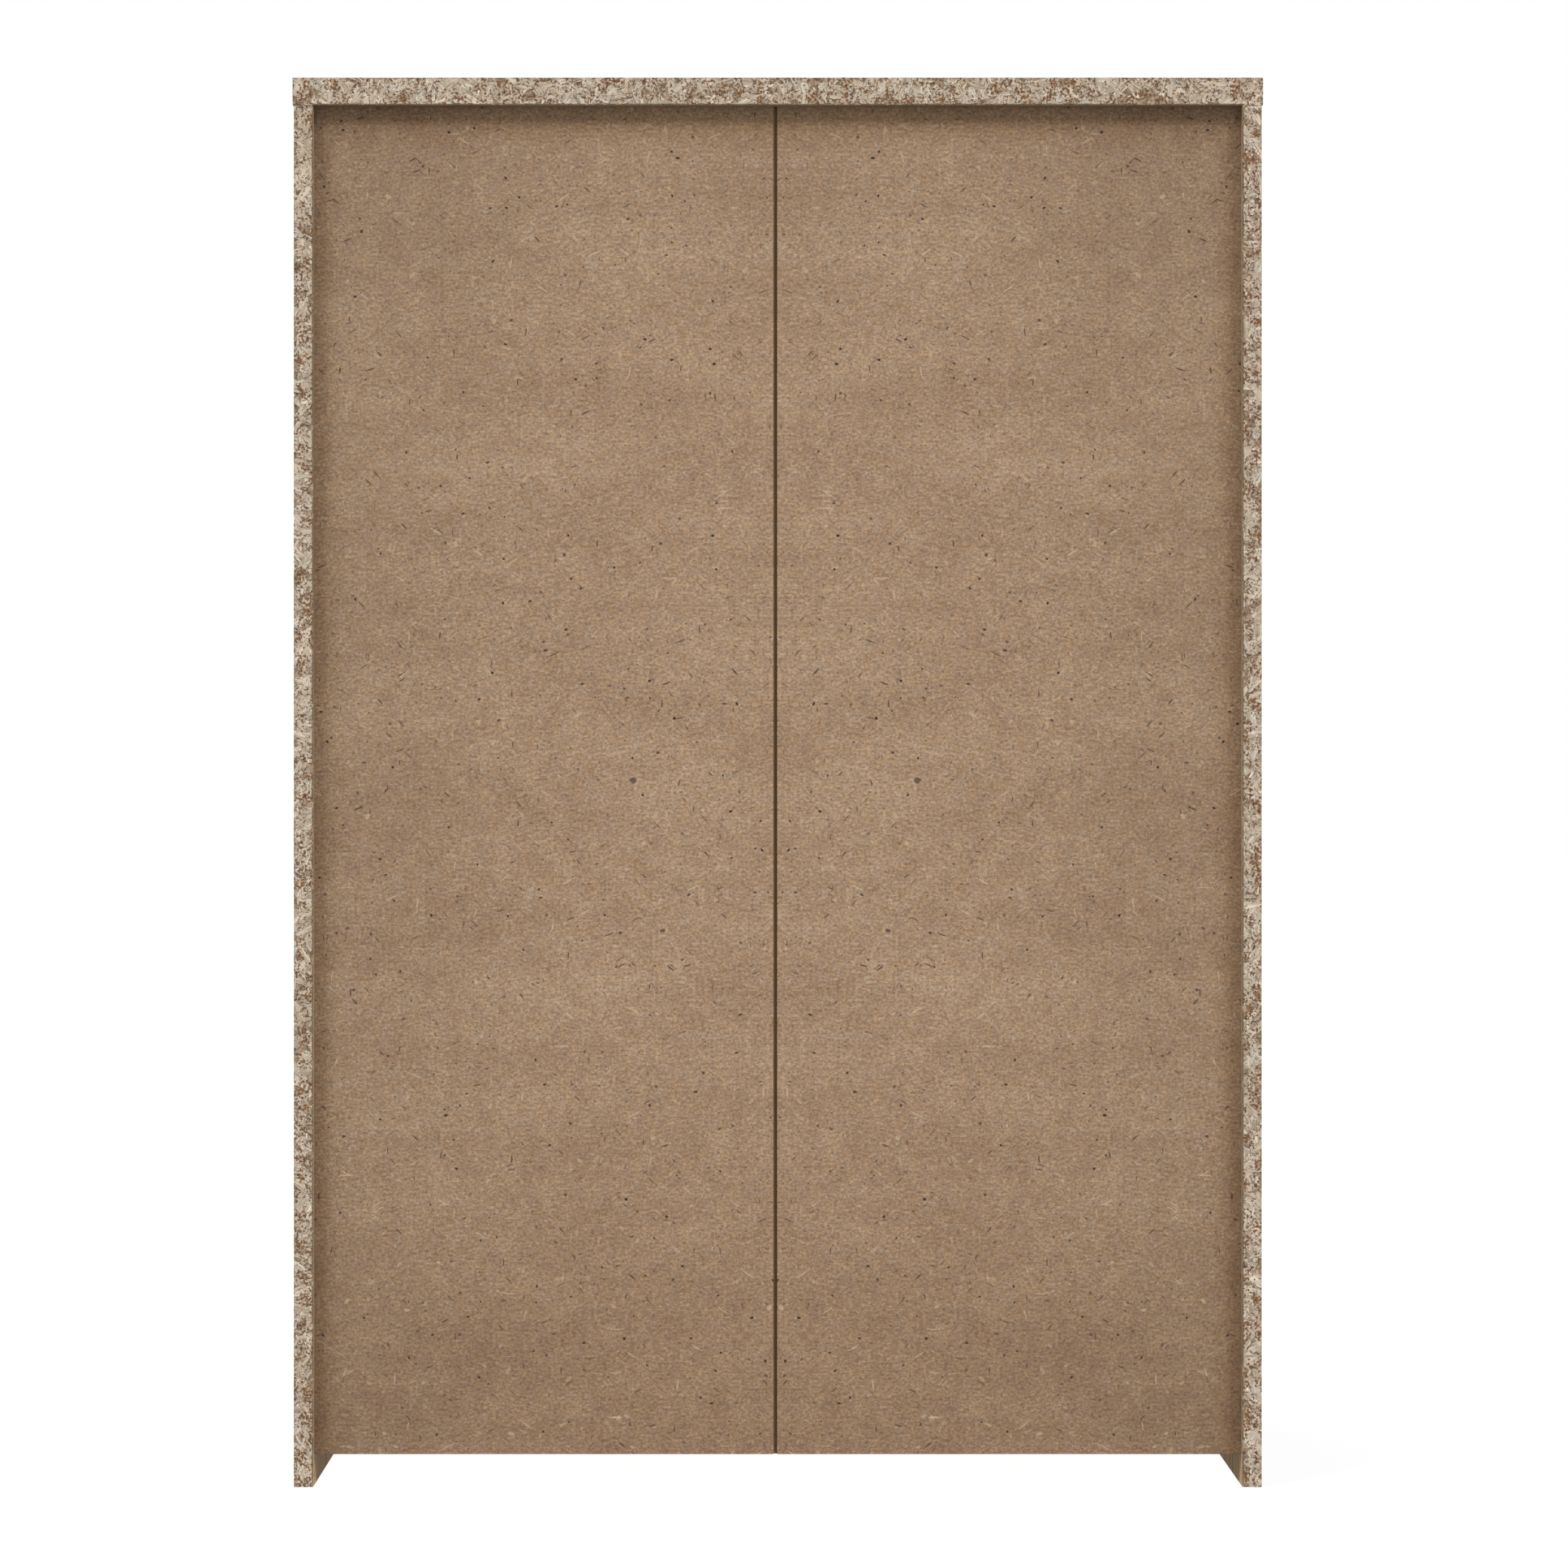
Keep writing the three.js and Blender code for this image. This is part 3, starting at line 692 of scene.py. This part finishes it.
def strand_pieces(rng, low, high):
    """Broad pale flakes, with thin slivers along each, then clusters of small brown crumbs.

    Each is a place, an angle, a length, a width, a number of points and a tone.
    """
    area = (high.x - low.x) * (high.z - low.z)

    def spot():
        return rng.uniform(low.x, high.x), rng.uniform(low.z, high.z)

    pieces = []
    for _ in range(int(area / FLAKE_AREA)):
        centre = spot()
        angle = rng.uniform(0, math.pi)
        length, width = random_size(rng, FLAKE_SIZE)
        pieces.append((centre, angle, length, width, FLAKE_POINTS, strand_tone(rng)))
        for _ in range(rng.randint(*SLIVERS)):
            along = rng.uniform(-0.5, 0.5) * length
            across = rng.uniform(-0.5, 0.5) * width
            place = offset(centre, angle, along, across)
            lean = angle + rng.gauss(0, SLIVER_LEAN)
            size = random_size(rng, SLIVER_SIZE)
            pieces.append((place, lean, *size, CHIP_POINTS, strand_tone(rng, SLIVER_BROWN)))
    for _ in range(int(area / CRUMB_AREA)):
        centre = spot()
        for _ in range(rng.randint(*CRUMBS)):
            x = centre[0] + rng.gauss(0, CRUMB_SPREAD)
            z = centre[1] + rng.gauss(0, CRUMB_SPREAD)
            size = random_size(rng, CRUMB_SIZE)
            angle = rng.uniform(0, math.pi)
            pieces.append(((x, z), angle, *size, CHIP_POINTS, strand_tone(rng, CRUMB_BROWN)))
    return pieces


def prism_faces(start, points):
    """The faces of a prism: its corners from start on are one end's, and the next are the other's."""
    faces = [
        tuple(range(start, start + points)),
        tuple(reversed(range(start + points, start + 2 * points))),
    ]
    for place in range(points):
        following = (place + 1) % points
        faces.append(
            (
                start + place,
                start + points + place,
                start + points + following,
                start + following,
            )
        )
    return faces


def strand_edge(name, low, high, seed):
    """Strands pressed over the raw back edge of a board, between the edge's corners."""
    rng = random.Random(seed)
    inside = []
    for piece in strand_pieces(rng, low, high):
        (x, z), *_ = piece
        if low.x < x < high.x and low.z < z < high.z:
            inside.append(piece)

    vertices, faces, tones, fibres = [], [], [], []
    for order, (centre, angle, length, width, points, tone) in enumerate(inside):
        lift = STRAND_LIFT + STRAND_PILE * order / len(inside)
        shift = (rng.uniform(0, 9), rng.uniform(0, 9))
        faces += prism_faces(len(vertices), points)
        outline = strand_outline(rng, length, width, points)
        for y in (BACK_Y - STRAND_SINK, BACK_Y + lift):
            for along, across in outline:
                x, z = offset(centre, angle, along, across)
                x = min(max(x, low.x + STRAND_MARGIN), high.x - STRAND_MARGIN)
                z = min(max(z, low.z + STRAND_MARGIN), high.z - STRAND_MARGIN)
                vertices.append((x, y, z))
                fibres.append((along + shift[0], across + shift[1]))
                tones += tone
    made = mesh_piece(name, vertices, faces, STRANDS, "carcass", smooth=False)
    mesh = made.data
    mesh.attributes.new("tone", "FLOAT_COLOR", "POINT").data.foreach_set("color", tones)
    corners = [value for corner in mesh.loops for value in fibres[corner.vertex_index]]
    mesh.uv_layers.new(name="fibre").data.foreach_set("uv", corners)


# CAD nodes: materials, and edges eased by modifiers ----------------------------------------------------

WELD_REACH = 0.00001


def dress(name, material, ease, limit=30.0):
    """Gives a CAD node its material and slightly rounded edges."""
    node = nodes[name]
    node.data.materials.clear()
    node.data.materials.append(material)
    weld = node.modifiers.new("weld", "WELD")
    weld.merge_threshold = WELD_REACH
    if ease:
        bevel = node.modifiers.new("ease", "BEVEL")
        bevel.width = ease
        bevel.segments = 2
        bevel.limit_method = "ANGLE"
        bevel.angle_limit = math.radians(limit)
        bevel.use_clamp_overlap = False
        bevel.harden_normals = False


HARDBOARD = hardboard()
STRANDS = strand()
BRUSHED = metal("brushed_steel", (0.40, 0.39, 0.37), 0.26, 0.44, 1500, (1, 1, 0.02))
NICKEL = metal("nickel_plate", (0.33, 0.31, 0.28), 0.30, 0.42, 400)
CHROME = metal("chrome", (0.62, 0.62, 0.63), 0.06, 0.14, 250)
BROWN_PLASTIC = moulded("brown_plastic", (0.085, 0.060, 0.042))
CAP_PLASTIC = moulded("cap_plastic", (0.26, 0.20, 0.14), 0.55)
CLEAR_RUBBER = moulded("bumper_rubber", (0.55, 0.54, 0.50), 0.4)

BACK_EDGES = {
    "top_panel": "raw",
    "side_panel_left": "raw",
    "side_panel_right": "raw",
    # the partition and bottom board: brown edges behind the seam, with painted shade
    "centre_partition": "seam_brown_painted_shade",
    "bottom_panel": "seam_brown_painted_shade",
}
for seed, board in enumerate(HORIZONTAL_BOARDS):
    shift = (0.37 * seed, 0.21 * seed, 1.7 * seed)
    dress(board, oak(board, False, shift, BACK_EDGES.get(board)), 0.0005)
for seed, board in enumerate(UPRIGHT_BOARDS):
    shift = (0.31 * seed + 5, 0.13 * seed, 1.9 * seed)
    dress(board, oak(board, True, shift, BACK_EDGES.get(board)), 0.0004)
for side, _ in SIDES:
    dress(f"back_panel_{side}", HARDBOARD, 0.0002)
    dress(f"magnetic_catch_{side}", BROWN_PLASTIC, 0.0006)
    dress(f"strike_plate_{side}", NICKEL, 0.0002)
    for place in HINGES:
        dress(f"hinge_{side}_{place}_carcass_leaf", NICKEL, 0.0003, limit=25.0)
        dress(f"hinge_{side}_{place}_door_leaf", NICKEL, 0.0003, limit=25.0)
        dress(f"hinge_{side}_{place}_pin", NICKEL, 0.0002, limit=25.0)


# Raw edges -----------------------------------------------------------------------------------------


def back_edge(node):
    low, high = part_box(node)
    return Vector((low.x, BACK_Y, low.z)), Vector((high.x, BACK_Y, high.z))


strand_edge("raw_edge_left", *back_edge("side_panel_left"), 11)
strand_edge("raw_edge_right", *back_edge("side_panel_right"), 12)
strand_edge("raw_edge_top", *back_edge("top_panel"), 13)


# Handles -------------------------------------------------------------------------------------------


def make_bar(side):
    """A handle's round bar, with rounded ends."""
    low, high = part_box(f"handle_bar_{side}")
    middle = (low + high) / 2
    radius = (high.x - low.x) / 2
    half = (high.z - low.z) / 2
    round_end = 0.0012
    outline = [(radius - round_end, -half)]
    for step in range(1, 6):
        angle = step * math.pi / 10
        outline.append(
            (radius - round_end * (1 - math.sin(angle)), -half + round_end * (1 - math.cos(angle)))
        )
    outline += [(size, -reach) for size, reach in reversed(outline)]
    bar = turned(f"handle_{side}", middle, "Z", outline, BRUSHED, f"door_{side}", points=64)
    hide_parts(f"handle_bar_{side}")
    return middle


def make_post(side, end, bar_y):
    """A handle's post: a flange on the door, a waist, and a seat at the bar."""
    node = f"handle_post_{side}_{end}"
    low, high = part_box(node)
    root = Vector(((low.x + high.x) / 2, high.y, (low.z + high.z) / 2))
    radius = (high.x - low.x) / 2
    reach = high.y - bar_y
    outline = [
        (radius + 0.0022, 0.0),
        (radius + 0.0022, -0.0010),
        (radius + 0.0016, -0.0018),
        (radius - 0.0004, -0.0022),
        (radius - 0.0010, -0.0040),
        (radius - 0.0011, -0.5 * reach),
        (radius - 0.0008, -0.72 * reach),
        (radius - 0.0002, -0.82 * reach),
        (radius - 0.0002, -0.98 * reach),
    ]
    post = turned(f"handle_stem_{side}_{end}", root, "Y", outline, BRUSHED, f"door_{side}")
    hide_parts(node)


for side, _ in SIDES:
    bar_middle = make_bar(side)
    for end in ("lower", "upper"):
        make_post(side, end, bar_middle.y)


# Hanging rail, its sockets, the foot and the shelf pins ------------------------------------------------

RAIL_WALL = 0.00125
RAIL_EASE = 0.0003  # the bevel of the rail's ends
SOCKET_FIT = 0.0003  # the gap round the rail in its sockets
SOCKET_WALL = 0.00225
SOCKET_PLATE = 0.0025


def make_rail():
    """The oval rail. Returns its middle at its outer end, its radius and its straight part."""
    low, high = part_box("hanging_rail")
    middle = Vector((low.x, (low.y + high.y) / 2, (low.z + high.z) / 2))
    length = high.x - low.x
    radius = (high.y - low.y) / 2
    straight = (high.z - low.z) - 2 * radius
    outline = [
        (radius - RAIL_WALL, 0.0),
        (radius - RAIL_EASE, 0.0),
        (radius, RAIL_EASE),
        (radius, length - RAIL_EASE),
        (radius - RAIL_EASE, length),
        (radius - RAIL_WALL, length),
    ]
    rail = turned("rail_tube", middle, "X", outline, CHROME, "carcass", straight, tube=True, points=64)
    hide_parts("hanging_rail")
    return middle, radius, straight


def make_socket(end, way, middle, radius, straight):
    """A socket round one end of the rail: a plate on the board, a collar, and two screws."""
    node = f"rail_socket_{end}"
    low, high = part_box(node)
    root = Vector((low.x if way > 0 else high.x, middle.y, middle.z))
    inner = radius + SOCKET_FIT
    outer = inner + SOCKET_WALL
    plate = (high.y - low.y) / 2
    reach = high.x - low.x
    outline = [
        (0.004, 0.0),
        (plate, 0.0),
        (plate, way * 0.0016),
        (plate - 0.0007, way * SOCKET_PLATE),
        (outer + 0.0010, way * SOCKET_PLATE),
        (outer, way * 0.0036),
        (outer, way * (reach - 0.0008)),
        (outer - 0.0008, way * reach),
        (inner + 0.0004, way * reach),
        (inner, way * (reach - 0.0004)),
        (inner, way * SOCKET_PLATE),
        (0.004, way * SOCKET_PLATE),
    ]
    name = f"rail_cup_{end}"
    socket = turned(name, root, "X", outline, CHROME, "carcass", straight, tube=True, points=64)
    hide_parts(node)
    drop = (high.z - low.z) / 2 - 0.0036
    places = [root + Vector((way * SOCKET_PLATE, 0, lift)) for lift in (-drop, drop)]
    head = screws(f"{name}_screws", places, "X", way, 0.0027, 0.0009, NICKEL, "carcass")


def make_foot():
    low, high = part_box("centre_foot")
    root = Vector(((low.x + high.x) / 2, (low.y + high.y) / 2, low.z))
    radius = (high.x - low.x) / 2
    tall = high.z - low.z
    outline = [
        (radius - 0.0030, 0.0),
        (radius - 0.0008, 0.0008),
        (radius, 0.0026),
        (radius, 0.0074),
        (radius - 0.0010, 0.0086),
        (radius - 0.0070, 0.0112),
        (radius - 0.0085, 0.0140),
        (radius - 0.0085, tall - 0.0060),
        (radius - 0.0070, tall - 0.0045),
        (radius - 0.0012, tall - 0.0040),
        (radius - 0.0010, tall),
    ]
    foot = turned("adjustable_foot", root, "Z", outline, BROWN_PLASTIC, "carcass", points=64)
    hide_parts("centre_foot")


def make_pin(node):
    low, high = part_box(node)
    at_partition = node.endswith("partition")
    root = Vector((low.x if at_partition else high.x, (low.y + high.y) / 2, (low.z + high.z) / 2))
    way = 1 if at_partition else -1
    radius = (high.z - low.z) / 2
    length = high.x - low.x
    outline = [
        (radius, 0.0),
        (radius, way * (length / 2 - 0.0001)),
        (radius + 0.0002, way * (length / 2)),
        (radius + 0.0002, way * (length / 2 + 0.0006)),
        (radius, way * (length / 2 + 0.0007)),
        (radius, way * (length - 0.0011)),
        (radius - 0.0004, way * (length - 0.0004)),
        (radius - 0.0011, way * length),
    ]
    pin = turned(node.replace("_pin_", "_peg_"), root, "X", outline, NICKEL, "carcass", points=32)
    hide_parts(node)


rail_shape = make_rail()
make_socket("outer", 1, *rail_shape)
make_socket("inner", -1, *rail_shape)
make_foot()
for node in sorted(nodes):
    if "_pin_" in node and node.startswith("shelf"):
        make_pin(node)


# Screws, cover caps, cams and bumpers ------------------------------------------------------------------

HINGE_SCREW_PITCH = 0.017
HINGE_SCREW_SIZE = (0.0024, 0.00018)  # radius and height of the heads
LEAF = 0.0010  # a hinge leaf's thickness


def hinge_screws(side, way, place):
    """Countersunk screws in both leaves of one hinge."""
    low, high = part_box(f"hinge_{side}_{place}_carcass_leaf")
    middle_z = (low.z + high.z) / 2
    edge_x = way * (INNER_X + BOARD / 2 - 0.0035)
    lifts = (-HINGE_SCREW_PITCH, 0.0, HINGE_SCREW_PITCH)
    places = [Vector((edge_x, high.y - LEAF, middle_z + lift)) for lift in lifts]
    name = f"hinge_{side}_{place}"
    head = screws(f"{name}_frame_screws", places, "Y", -1, *HINGE_SCREW_SIZE, NICKEL, "carcass")

    low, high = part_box(f"hinge_{side}_{place}_door_leaf")
    inner_x = low.x if way > 0 else high.x
    door_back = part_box(f"door_panel_{side}")[1].y
    places = []
    for step in (-1, 0, 1):
        x = inner_x + way * (0.0045 + 0.003 * abs(step))
        places.append(Vector((x, door_back + LEAF, middle_z + HINGE_SCREW_PITCH * step)))
    head = screws(f"{name}_door_screws", places, "Y", 1, *HINGE_SCREW_SIZE, NICKEL, f"door_{side}")


def catch_screws(side):
    """Screws that hold a magnetic catch to the top board, and its strike plate to the door."""
    low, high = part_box(f"magnetic_catch_{side}")
    middle = (low + high) / 2
    places = [Vector((x, middle.y + 0.001, low.z)) for x in (low.x + 0.0045, high.x - 0.0045)]
    head = screws(f"catch_{side}_screws", places, "Z", -1, 0.0026, 0.0009, NICKEL, "carcass")
    low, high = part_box(f"strike_plate_{side}")
    middle = (low + high) / 2
    places = [Vector((x, high.y, middle.z)) for x in (low.x + 0.006, high.x - 0.006)]
    head = screws(f"strike_{side}_screws", places, "Y", 1, 0.0022, 0.00025, NICKEL, f"door_{side}")


def cover_caps(side, way):
    """Caps over the screws through a side board into the boards that it holds."""
    levels = [(BOTTOM_LOW.z + BOTTOM_HIGH.z) / 2]
    if way > 0:
        low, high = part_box("shelf_fixed")
        levels.append((low.z + high.z) / 2)
    parts = []
    for level in levels:
        for y in (SIDE_FRONT_Y + 0.06, 0.02, BACK_Y - 0.08):
            rings = [
                ring((way * OUTER_X, y, level), "X", way * reach, radius)
                for radius, reach in dome(0.006, 0.0010, 0.0004)
            ]
            parts.append(skin(rings))
    vertices, faces = join_meshes(parts)
    caps = mesh_piece(f"cover_caps_{side}", vertices, faces, CAP_PLASTIC, "carcass")


def cams(name, x, way):
    """Turned cam fittings that hold the top board, set into an upright board near its top."""
    places = [Vector((x, y, UNDER_Z - 0.034)) for y in (SIDE_FRONT_Y + 0.07, BACK_Y - 0.09)]
    head = screws(name, places, "X", way, 0.0074, 0.0006, NICKEL, "carcass")


def bumpers(side, way):
    """Soft dots where a door meets the partition's front edge."""
    low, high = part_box(f"door_panel_{side}")
    parts = []
    for z in (low.z + 0.05, (low.z + high.z) / 2, high.z - 0.05):
        rings = [
            ring((way * 0.0055, high.y, z), "Y", reach, radius)
            for radius, reach in dome(0.0032, 0.0018, 0.0006)
        ]
        parts.append(skin(rings))
    vertices, faces = join_meshes(parts)
    dots = mesh_piece(f"bumpers_{side}", vertices, faces, CLEAR_RUBBER, f"door_{side}")


for side, way in SIDES:
    for place in HINGES:
        hinge_screws(side, way, place)
    catch_screws(side)
    cover_caps(side, way)
    bumpers(side, way)
    cams(f"cams_side_{side}", way * INNER_X, -way)
cams("cams_partition", BOARD / 2, 1)


# Floor, light and camera -----------------------------------------------------------------------------

FLOOR_REACH = 30.0
FLOOR_DROP = 0.0004  # below the wardrobe's feet, so that the faces don't coincide


def make_floor():
    signs = ((-1, -1), (1, -1), (1, 1), (-1, 1))
    corners = [(across * FLOOR_REACH, along * FLOOR_REACH, 0) for across, along in signs]
    mesh = bpy.data.meshes.new("floor")
    mesh.from_pydata(corners, [], [(0, 1, 2, 3)])
    mesh.materials.append(floor_paint())
    floor = bpy.data.objects.new("floor", mesh)
    floor.location.z = -FLOOR_DROP
    scene.collection.objects.link(floor)


def soft_sun(name, strength, softness, elevation, azimuth):
    """A soft light from azimuth round from +Y towards +X, at elevation."""
    light = bpy.data.lights.new(name, "SUN")
    light.energy = strength
    light.angle = softness
    made = bpy.data.objects.new(name, light)
    made.rotation_euler = (math.pi / 2 - elevation, 0, math.pi - azimuth)
    scene.collection.objects.link(made)


def make_camera():
    camera = bpy.data.cameras.new("camera")
    camera.sensor_width = SENSOR_WIDTH
    camera.lens = LENS
    camera.shift_x, camera.shift_y = CAMERA_SHIFT
    camera.clip_end = 200.0
    made = bpy.data.objects.new("camera", camera)
    made.location = (CAMERA_X, BACK_Y + CAMERA_DISTANCE, CAMERA_HEIGHT)
    made.rotation_euler = (math.pi / 2, 0, math.pi)
    scene.collection.objects.link(made)
    scene.camera = made


def make_sky():
    world = bpy.data.worlds.new("sky")
    world.use_nodes = True
    background = world.node_tree.nodes["Background"]
    background.inputs["Color"].default_value = (1, 1, 1, 1)
    background.inputs["Strength"].default_value = 1.0
    scene.world = world


make_floor()
make_sky()
soft_sun("key_left", KEY_STRENGTH, KEY_SOFTNESS, KEY_ELEVATION, -KEY_AZIMUTH)
soft_sun("key_right", KEY_STRENGTH, KEY_SOFTNESS, KEY_ELEVATION, KEY_AZIMUTH)
soft_sun("fill", FILL_STRENGTH, FILL_SOFTNESS, FILL_ELEVATION, FILL_AZIMUTH)
make_camera()
scene.view_settings.view_transform = "Standard"
